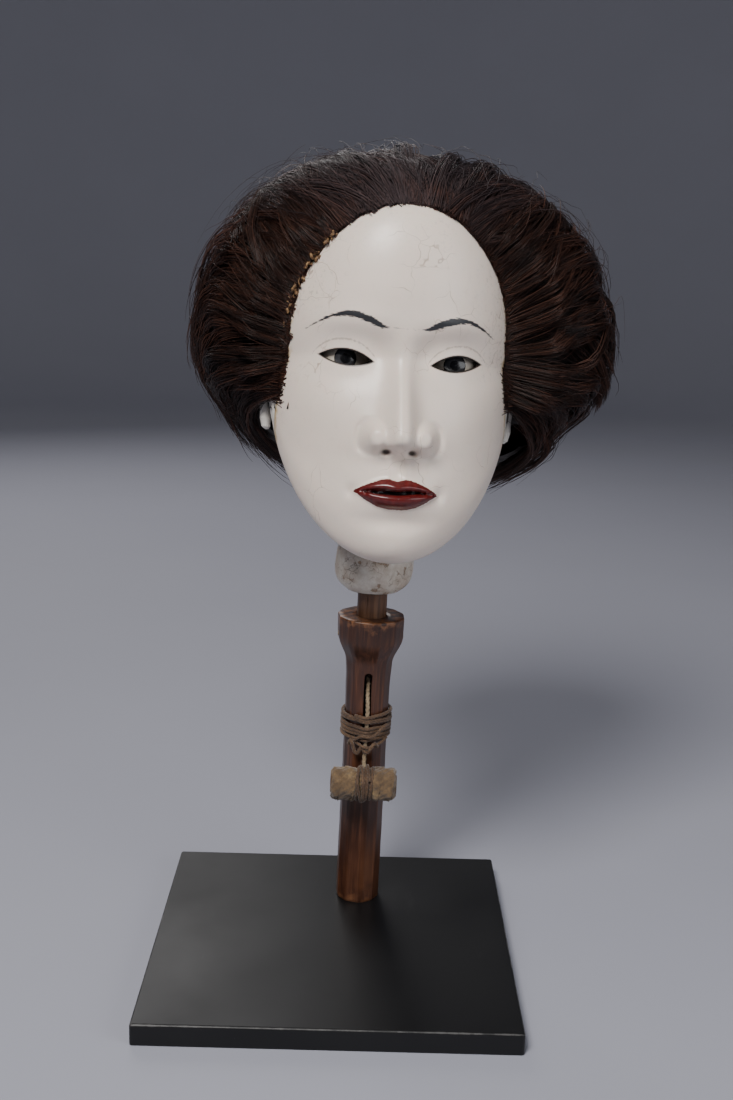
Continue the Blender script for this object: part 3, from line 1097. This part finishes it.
def fibres(path, radius):
    """Three-sided tubes along many centre lines at once."""
    n, steps, _ = path.shape
    tangent = np.gradient(path, axis=1)
    tangent /= np.linalg.norm(tangent, axis=2)[..., None] + 1e-9
    outward = path - CROWN
    side = np.cross(tangent, outward)
    side /= np.linalg.norm(side, axis=2)[..., None] + 1e-9
    up = np.cross(side, tangent)
    corners = []
    for a in (90, 210, 330):
        a = math.radians(a)
        corners.append(path + radius[..., None] * (side * math.cos(a) + up * math.sin(a)))
    v = np.stack(corners, 2).reshape(-1, 3)
    j = np.arange(n)[:, None, None] * (steps * 3) + np.arange(steps - 1)[None, :, None] * 3
    k = np.arange(3)[None, None, :]
    m = (k + 1) % 3
    quads = np.stack([j + k, j + m, j + m + 3, j + k + 3], -1).reshape(-1, 4)
    return v, quads


def hair_paint(name, dark, light, rough):
    p = Paint(name, rough, Specular_IOR_Level=0.26, Sheen_Weight=0.015, Sheen_Roughness=0.35)
    tone = p.attr("tone")
    n = p.noise(45, 3)
    color = p.mix(tone, dark, light)
    color = p.mix(p.calc("MULTIPLY", p.attr("sheen"), 0.75), color, p.mix(tone, (0.022, 0.016, 0.018),
            (0.085, 0.066, 0.072)))
    color = p.mix(p.fit(n, 0.5, 0.75, (0.0, 0.5)), color, tuple(c * 1.7 for c in light))
    return p.finish(color, p.mix(p.noise(300, 3), (rough - 0.07,) * 3, (rough + 0.07,) * 3),
                    (p.noise(1400, 3), 0.3, 0.05))


def under_hair():
    """The dense body of hair that the outer strands lie on."""
    rows, cols = 150, 420
    u = np.linspace(0, 1, rows)[:, None] ** 0.9 + 0 * np.linspace(0, 1, cols)
    a = np.linspace(0, 2 * np.pi, cols, endpoint=False)[None, :] + 0 * u
    p = hair_ring(u, a)
    r = np.random.default_rng(77)
    streak = sum(np.sin(a * k + r.uniform(0, 6.3) + 1.2 * np.sin(u * 5 + k)) * w for k,
                 w in ((23, 0.5), (41, 0.45), (67, 0.4), (97, 0.35)))
    full = np.clip(u / 0.22, 0, 1)
    full = full * full * (3 - 2 * full)
    off = p - CROWN
    dist = np.linalg.norm(off, axis=-1)
    d = off / dist[..., None]
    inside = np.minimum(dist, hull(d)) * (0.935 + 0.008 * streak)
    # Its front edge lies behind the hairline, and further behind towards the ears, so the strands cover it.
    behind = np.stack([0 * u, 4.0 + 13.0 * np.clip((34 - p[..., 2]) / 30, 0, 1), 0 * u], -1)
    start = head_out(p * 0.9 + behind, 0.5)
    p = start * (1 - full)[..., None] + (CROWN + d * inside[..., None]) * full[..., None]
    low = -60 + 3.5 * np.sin(7 * a) + 2.0 * np.sin(17 * a + 4 * u)
    p[..., 2] = np.where(p[..., 2] < low + 4, low + 4 * np.exp(np.clip(p[..., 2] - low - 4, -40, 0) / 8),
                         p[..., 2])
    v = head_out(p, 0.8).reshape(-1, 3)
    q = grid_faces(rows, cols, True)
    v, q, tris, _ = clip(v, q, lambda w: np.where(w[:, 2] < -40,
            np.hypot(w[:, 0], w[:, 1] - np.clip(w[:, 1], -10, 24)) - 33, 5.0))
    v, q, tris2, _ = clip(v, q, lambda w: np.maximum(w[:, 2] + 27,
            w[:, 1] - 15 + 0.42 * np.clip(-20 - w[:, 2], 0, 60) + 4.0 + 2 * np.sin(w[:, 2] / 3.0)))
    low = lambda w: np.clip((44 - w[:, 2]) / 14, 0, 1)
    v, q, tris3, _ = clip(v, q, lambda w: (-seam(w) - 13) * low(w) + 30 * (1 - low(w)))
    extra = np.concatenate([tris, tris2, tris3])
    attrs = {"around": np.resize(a.ravel(), len(v)), "back": np.resize(u.ravel(), len(v))}
    v, faces, attrs = compact(v, [q, extra], attrs)
    p = Paint("hair_body", 0.5, Sheen_Weight=0.1, Sheen_Roughness=0.4)
    flow = p.node("ShaderNodeCombineXYZ", {0: p.attr("around"), 1: p.attr("back"), 2: 0.0}).outputs[0]
    lines = p.noise(1.0, 4, 0.6, p.node("ShaderNodeMapping",
                                        {"Vector": flow, "Scale": (46, 5, 1)}).outputs[0], 0.5)
    color = p.ramp(lines, (0.3, (0.0035, 0.002, 0.0016)), (0.6, (0.012, 0.0065, 0.005)),
                   (0.78, (0.035, 0.018, 0.013)))
    make("hair_mass", v, faces, p.finish(color, None, (lines, 0.8, 1.2)), HEAD, "head", ["wig_hair"],
         attrs, placed=True)


def hair():
    r = np.random.default_rng(4)
    under_hair()
    sets = []
    # From the hairline, combed up, out and back.
    n = 230
    roots = hairline(n, -31.0) + r.normal(0, 0.5, (n, 3))
    high = np.clip((roots[:, 2] + 5) / 85, 0, 1)
    length = 112 + 80 * high + r.normal(0, 14, n)
    guides = comb(roots, 0.99 + r.normal(0, 0.016, n), length, 0.45 + 0.95 * (1 - high), 0.9 + 0 * high, 41)
    sets.append(strands(guides, 30, 1.9, 0.23, 42, 0.9))
    # Short hairs that soften the line.
    roots = hairline(150, -27.0, 1.5) + r.normal(0, 0.5, (150, 3))
    high = np.clip((roots[:, 2] + 5) / 85, 0, 1)
    guides = comb(roots, 0.97 + r.normal(0, 0.02, 150), r.uniform(24, 60, 150), 0.4 + 0.9 * (1 - high),
                  0.8 + 0 * high, 57)
    sets.append(strands(guides, 16, 1.5, 0.17, 58, 0.6))
    # A second row just behind it, lying a little lower.
    n = 150
    roots = head_out(hairline(n, -31.0, -7.0) * [1.02, 1, 1.0], 0.6)
    high = np.clip((roots[:, 2] + 5) / 85, 0, 1)
    guides = comb(roots, 0.955 + r.normal(0, 0.014, n), 120 + 70 * high + r.normal(0, 14, n),
                  0.5 + 0.9 * (1 - high), 0.6 + 0 * high, 43)
    sets.append(strands(guides, 26, 2.4, 0.25, 44, 1.0))
    # From the crown and the sides, falling over the back.
    n = 300
    t = r.uniform(-1, 1, n)
    psi = np.radians(r.uniform(62, 170, n))
    roots = np.stack([t * 92, -np.cos(psi) * 88 * np.sqrt(1 - 0.75 * t * t) + 6,
                      np.sin(psi) * 96 * np.sqrt(1 - 0.75 * t * t) + 8], -1)
    guides = comb(roots, 0.98 + r.normal(0, 0.04, n), r.uniform(85, 190, n), r.uniform(0.6, 1.5, n),
                  0.15 * np.ones(n), 45)
    sets.append(strands(guides, 28, 3.4, 0.27, 46, 1.15))
    # The sides, falling to the ragged ends.
    n = 190
    side = np.where(r.random(n) < 0.5, -1, 1)
    roots = np.stack([side * r.uniform(66, 92, n), r.uniform(-14, 82, n), r.uniform(-6, 62, n)], -1)
    guides = comb(roots, 0.97 + r.normal(0, 0.042, n), r.uniform(52, 112, n), r.uniform(1.4, 2.6, n),
                  0.3 * np.ones(n), 47)
    sets.append(strands(guides, 28, 3.2, 0.26, 48, 1.15))
    # Low, behind the ears and the jaw, thinning to long ragged ends.
    n = 250
    side = np.where(r.random(n) < 0.5, -1, 1)
    roots = np.stack([side * r.uniform(60, 90, n), r.uniform(12, 62, n), r.uniform(-32, 8, n)], -1)
    guides = comb(roots, r.uniform(0.64, 0.96, n), r.uniform(34, 98, n), r.uniform(2.6, 4.2, n),
                  0.0 * np.ones(n), 49)
    sets.append(strands(guides, 22, 2.6, 0.21, 50, 1.5, 0.10, 0.30))
    # Over the upper part of the ears.
    n = 64
    side = np.where(np.arange(n) % 2 == 0, -1, 1)
    roots = np.stack([side * r.uniform(68, 84, n), r.uniform(-12, 18, n), r.uniform(-6, 30, n)], -1)
    guides = comb(roots, r.uniform(0.80, 0.96, n), r.uniform(26, 50, n), 3.6 * np.ones(n),
                  0.0 * np.ones(n), 59)
    sets.append(strands(guides, 24, 2.6, 0.22, 60, 1.1, 0.04, 0.5))
    # Lower back, round to the nape.
    n = 90
    t = np.radians(r.uniform(-80, 80, n))
    roots = np.stack([88 * np.sin(t) + 6, 38 + 62 * np.cos(t), r.uniform(-30, 20, n)], -1)
    guides = comb(roots, 0.975 + r.normal(0, 0.04, n), r.uniform(45, 95, n), r.uniform(2.2, 3.4, n),
                  0.0 * np.ones(n), 51)
    sets.append(strands(guides, 26, 3.6, 0.26, 52, 1.1))
    # One blunt tuft at the right, cut straight.
    n = 16
    roots = np.stack([np.full(n, 72.0), r.uniform(-22, -6, n), r.uniform(18, 44, n)], -1)
    aim = np.stack([r.uniform(122, 129, n), r.uniform(0, 26, n), r.uniform(-20, 4, n)], -1)
    s = np.linspace(0, 1, HAIR_STEPS)[None, :, None]
    mid = (roots + aim) / 2 + [10, -4, 14]
    guides = roots[:, None] * (1 - s) ** 2 + 2 * mid[:, None] * s * (1 - s) + aim[:, None] * s * s
    sets.append(strands(guides, 40, 2.4, 0.24, 54, 0.7, 0.01, 0.93))
    # Single hairs that stand away.
    n = 220
    a = np.radians(r.uniform(-24, 204, n))
    roots = head_out(hair_ring(r.uniform(0.0, 0.5, n), a) * [0.97, 1, 0.97], 0.5)
    guides = comb(roots, r.uniform(1.0, 1.10, n), r.uniform(50, 150, n), r.uniform(-0.3, 1.8, n),
                  r.uniform(0, 1.4, n), 55)
    sets.append(strands(guides, 1, 1.0, 0.13, 56, 4.0, 0.5, 0.9))
    path = np.concatenate([q[0] for q in sets])
    radius = np.concatenate([q[1] for q in sets])
    tone = np.concatenate([0.55 * q[2] + 0.45 * q[3] for q in sets])
    path = head_out(path, 0.5)
    front = np.clip((path[:, 0, 2] - 56) / 24, 0, 1) * np.clip((12 - path[:, 0, 1]) / 34, 0, 1)
    off = path - CROWN
    dist = np.linalg.norm(off, axis=-1)
    most = hull(off / dist[..., None])
    high = dist / most
    path = CROWN + off * (np.where(high > 1.05, 1.05 + 0.07 * np.tanh((high - 1.05) * 8),
                                   high) / high)[..., None]
    steps = path.shape[1]
    paints = [
        hair_paint("hair_a", (0.0075, 0.0035, 0.0027), (0.036, 0.0155, 0.0105), 0.42),
        hair_paint("hair_b", (0.010, 0.0046, 0.0034), (0.058, 0.024, 0.016), 0.38),
        hair_paint("hair_c", (0.006, 0.0034, 0.0028), (0.026, 0.013, 0.010), 0.46),
        hair_paint("hair_d", (0.018, 0.0078, 0.0055), (0.095, 0.039, 0.025), 0.40)]
    count = HAIR_PIECES
    which = r.integers(0, count, len(path))
    for c in range(count):
        pick = which == c
        v, q = fibres(path[pick], radius[pick])
        tones = np.repeat(tone[pick], steps * 3)
        sheens = np.repeat(front[pick], steps * 3)
        make("hair_strands_%d" % c, v, q, paints[c % 4], HEAD, "head", ["wig_hair"],
             {"tone": tones, "sheen": sheens}, placed=True)


CRUMBS = 84


def glue():
    """Crumbs of old paste and net along the rim at one temple."""
    r = np.random.default_rng(15)
    line = hairline(400, -20.0, 0.4)
    spots = line[(line[:, 0] < 0) & (line[:, 2] > 14) & (line[:, 2] < 62)]
    parts = []
    for _ in range(CRUMBS):
        at = spots[int(len(spots) * r.random() ** 1.2) % len(spots)] + [-abs(r.normal(0, 1.0)),
                r.normal(-0.4, 1.5), 0]
        bend = r.normal(0, 1, (4, 3)) * [0.7, 0.6, 1.3]
        path = at + np.cumsum(bend * 0.8, 0)
        parts.append(sweep(path, r.uniform(0.34, 0.95) * np.array([0.5, 1, 0.9, 0.3]), 7))
    v, f = joined(parts)
    p = Paint("old_paste", 0.6)
    n = p.noise(600, 4)
    color = p.ramp(n, (0.3, (0.05, 0.025, 0.012)), (0.55, (0.19, 0.10, 0.04)), (0.75, (0.42, 0.27, 0.12)))
    make("net_paste", v, f, p.finish(color, None, (n, 0.6, 0.3)), HEAD, "head", ())


# ---------- what stays as the CAD has it ----------
def inner_parts():
    """Finishes for the small pieces and the works inside the head."""
    steel = Paint("steel", 0.32, Metallic=1.0)
    n = steel.noise(400, 4)
    steel_mat = steel.finish(steel.ramp(n, (0.3, (0.33, 0.33, 0.34)), (0.7, (0.55, 0.55, 0.56))), None,
                             (n, 0.15, 0.1))
    brass = Paint("nail_brass", 0.4, Metallic=1.0)
    n = brass.noise(500, 4)
    brass_mat = brass.finish(brass.ramp(n, (0.3, (0.20, 0.12, 0.05)), (0.7, (0.55, 0.38, 0.16))), None,
                             (n, 0.3, 0.1))
    p, color, lines, _ = wood("inner_wood", (0.17, 0.10, 0.05), (0.30, 0.19, 0.10), (0.44, 0.30, 0.17),
                              0.55)
    wood_mat = p.finish(color, None, (lines, 0.3, 0.2))
    p, color, lines, _ = wood("inner_bamboo", (0.22, 0.14, 0.06), (0.36, 0.25, 0.12), (0.50, 0.37, 0.20),
                              0.45)
    bamboo_mat = p.finish(color, None, (lines, 0.3, 0.15))
    p, color, lines, _ = wood("baleen", (0.010, 0.008, 0.007), (0.030, 0.024, 0.020), (0.10, 0.085, 0.07),
                              0.35)
    baleen_mat = p.finish(color, None, (lines, 0.25, 0.1))
    cord_mat = cord_paint("inner_cord", (0.20, 0.13, 0.07), (0.42, 0.31, 0.18))
    finishes = {
        "steel": (steel_mat, ["mounting_rod", "mounting_screw"]),
        "nail_brass": (brass_mat, ["wig_nails"]),
        "brown_wood": (wood_mat, ["axle_blocks", "eye_bar_upper", "eye_bar_lower"]),
        "bamboo": (bamboo_mat, ["collar_pin", "spring_peg", "nod_axle", "cord_bar", "eye_pins",
                                "eye_link"]),
        "pale_cord": (cord_mat, ["eye_cord_upper"])}
    for slot, (mat, nodes) in finishes.items():
        for name in nodes:
            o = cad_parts[name]
            o.data.materials.clear()
            o.data.materials.append(mat)
    bending_parts(baleen_mat, cord_mat)


def strip(path, axis, wide, thick):
    """A flat strip with rounded edges along a path, its width along axis."""
    path, axis = np.asarray(path, float), np.asarray(axis, float)
    t = np.gradient(path, axis=0)
    flat = np.cross(t, axis)
    flat /= np.linalg.norm(flat, axis=1)[:, None]
    a = np.linspace(0, 2 * np.pi, 16, endpoint=False)
    c, s = (np.sign(f(a)) * np.abs(f(a)) ** 0.5 for f in (np.cos, np.sin))
    v = path[:, None] + axis * (c * wide / 2)[:, None] + flat[:, None] * (s * thick / 2)[:, None]
    v = np.concatenate([v.reshape(-1, 3), path[:1], path[-1:]])
    n = len(path) * 16
    j = np.arange(16)
    k = (j + 1) % 16
    ends = [np.stack([np.full(16, n), k, j], -1), np.stack([np.full(16, n + 1), n - 16 + j, n - 16 + k],
            -1)]
    return v, [grid_faces(len(path), 16, True), np.concatenate(ends)]


def bending_parts(baleen, cord):
    """The springs and the cord inside the head that reach from one body to another."""
    th = np.radians(np.linspace(180, 124, 70))
    path = np.stack([0 * th, 16.2 + 95 + 95.6 * np.cos(th), 242 + 95.6 * np.sin(th)], -1)
    v, f = strip(path, [1, 0, 0], 9.8, 1.1)
    low, high = GRIP @ Vector((0, 0.017, 0.258)), GRIP @ Vector((0, 0.056, 0.318))
    make("nod_spring_strip", v, f, baleen, GRIP, "stand", ["nod_spring"],
         bend=("stand", "head", low, high))
    y = smooth_curve([(-19.5, -37.4), (-16.5, -37.2), (-13.5, -31.2), (-9.0, -30.5), (5.8, -30.5)], 0.8)
    z = np.linspace(-19.4, 5.7, 60)
    v2, f2 = strip(np.stack([0 * z, y(z), z], -1), [1, 0, 0], 0.8, 1.8)
    low, high = HEAD @ Vector((0, -0.0305, -0.012)), HEAD @ Vector((0, -0.0305, -0.001))
    place = [np.array(m @ Vector(q)) / MM for m, q in ((GRIP, (0, -0.020, 0.2552)),
            (HEAD, (0, -0.0101, -0.025)))]
    turn_at = np.radians(np.linspace(180, 180 - 560, 120))
    over = np.stack([np.linspace(0, 2.4, 120), -6 + 3.95 * np.cos(turn_at), -25 + 3.95 * np.sin(turn_at)],
                    -1)
    m = np.array(HEAD)
    over = over @ m[:3, :3].T + m[:3, 3] / MM
    s = np.linspace(0, 1, 80)[:, None]
    v, f = sweep(np.concatenate([place[0] * (1 - s) + place[1] * s, over[2:]]), 1.2, 12, 3, 7.5)
    make("nod_cord_strand", v, f, cord, WORLD, "head", ["nod_cord_upper"],
         bend=("stand", "head", Vector(place[0]) * MM, Vector(place[1]) * MM))
    make("eye_spring_strip", v2, f2, baleen, HEAD, "head", ["eye_spring"],
         bend=("head", "eye_bar_link", low, high))

eyes()
cap_net()
neck()
grip()
spindle()
brown = cord_paint("brown_cord", (0.062, 0.029, 0.013), (0.165, 0.088, 0.040))
pale = cord_paint("pale_cord", (0.26, 0.18, 0.10), (0.46, 0.35, 0.22))
binding(brown)
pull_cord(pale)
toggle(brown)
eye_pull(pale)
plate()
hair()
glue()
inner_parts()


# ---------- floor, light, camera ----------
def studio():
    """A pale floor that curves up into a wall all round, far outside the camera's path."""
    flat, bend, top = 2600.0, 1400.0, 4200.0
    prof = [(r, 0.0) for r in np.linspace(1, flat, 10)]
    prof += [(flat + bend * math.sin(b), bend - bend * math.cos(b)) for b in np.linspace(0.1, math.pi / 2,
            14)]
    prof += [(flat + bend, h) for h in np.linspace(bend + 200, top, 6)]
    prof = np.array(prof)
    a = np.linspace(0, 2 * np.pi, 96, endpoint=False)
    v = np.stack([prof[:, :1] * np.cos(a), prof[:, :1] * np.sin(a), prof[:, 1:] + 0 * a], -1).reshape(-1, 3)
    p = Paint("pale_floor", 0.75)
    n = p.noise(3, 4)
    mat = p.finish(p.ramp(n, (0.3, (0.385, 0.39, 0.455)), (0.7, (0.40, 0.405, 0.47))), None,
                   (p.noise(300, 2), 0.04, 0.2))
    me = bpy.data.meshes.new("floor")
    me.from_pydata([tuple(q) for q in v * MM], [],
                   [tuple(f) for f in grid_faces(len(prof), 96, True).tolist()])
    me.polygons.foreach_set("use_smooth", np.ones(len(me.polygons), bool))
    me.materials.append(mat)
    o = bpy.data.objects.new("floor", me)
    bpy.context.scene.collection.objects.link(o)


def lamp(name, place, aim, size, watts, color):
    data = bpy.data.lights.new(name, "AREA")
    data.shape = "DISK"
    data.size = size
    data.energy = watts
    data.color = color
    o = bpy.data.objects.new(name, data)
    o.location = place
    o.rotation_mode = "QUATERNION"
    o.rotation_quaternion = (Vector(aim) - Vector(place)).to_track_quat("-Z", "Y")
    bpy.context.scene.collection.objects.link(o)


studio()
lamp("key", (-0.38, -1.0, 1.38), (0.02, 0.0, 0.30), 0.62, 27.0, (1.0, 0.985, 0.965))
lamp("fill", (1.25, -0.95, 0.75), (0.02, 0.03, 0.28), 1.1, 8.0, (0.95, 0.97, 1.0))
lamp("rear", (-0.6, 1.5, 1.1), (0.02, 0.05, 0.33), 1.1, 7.5, (1.0, 0.98, 0.97))
world = bpy.data.worlds.new("studio")
world.use_nodes = True
world.node_tree.nodes["Background"].inputs[0].default_value = (0.80, 0.80, 0.84, 1)
world.node_tree.nodes["Background"].inputs[1].default_value = 0.15
bpy.context.scene.world = world

cam = bpy.data.cameras.new("camera")
cam.lens = 44.89
cam.sensor_width = 36.0
cam.clip_start = 0.02
cam.clip_end = 20.0
view_from = bpy.data.objects.new("camera", cam)
tilt, heading, lean = [math.radians(q) for q in (12.93, 0.24, 1.61)]
ahead = Vector((math.sin(heading) * math.cos(tilt), math.cos(heading) * math.cos(tilt), -math.sin(tilt)))
right = Vector((math.cos(heading), -math.sin(heading), 0))
above = right.cross(ahead)
right, above = (right * math.cos(lean) + above * math.sin(lean),
                above * math.cos(lean) - right * math.sin(lean))
view_from.matrix_world = Matrix.Translation((0.0103, -0.7182, 0.4019)) @ Matrix((right, above,
        -ahead)).transposed().to_4x4()
bpy.context.scene.collection.objects.link(view_from)
bpy.context.scene.camera = view_from
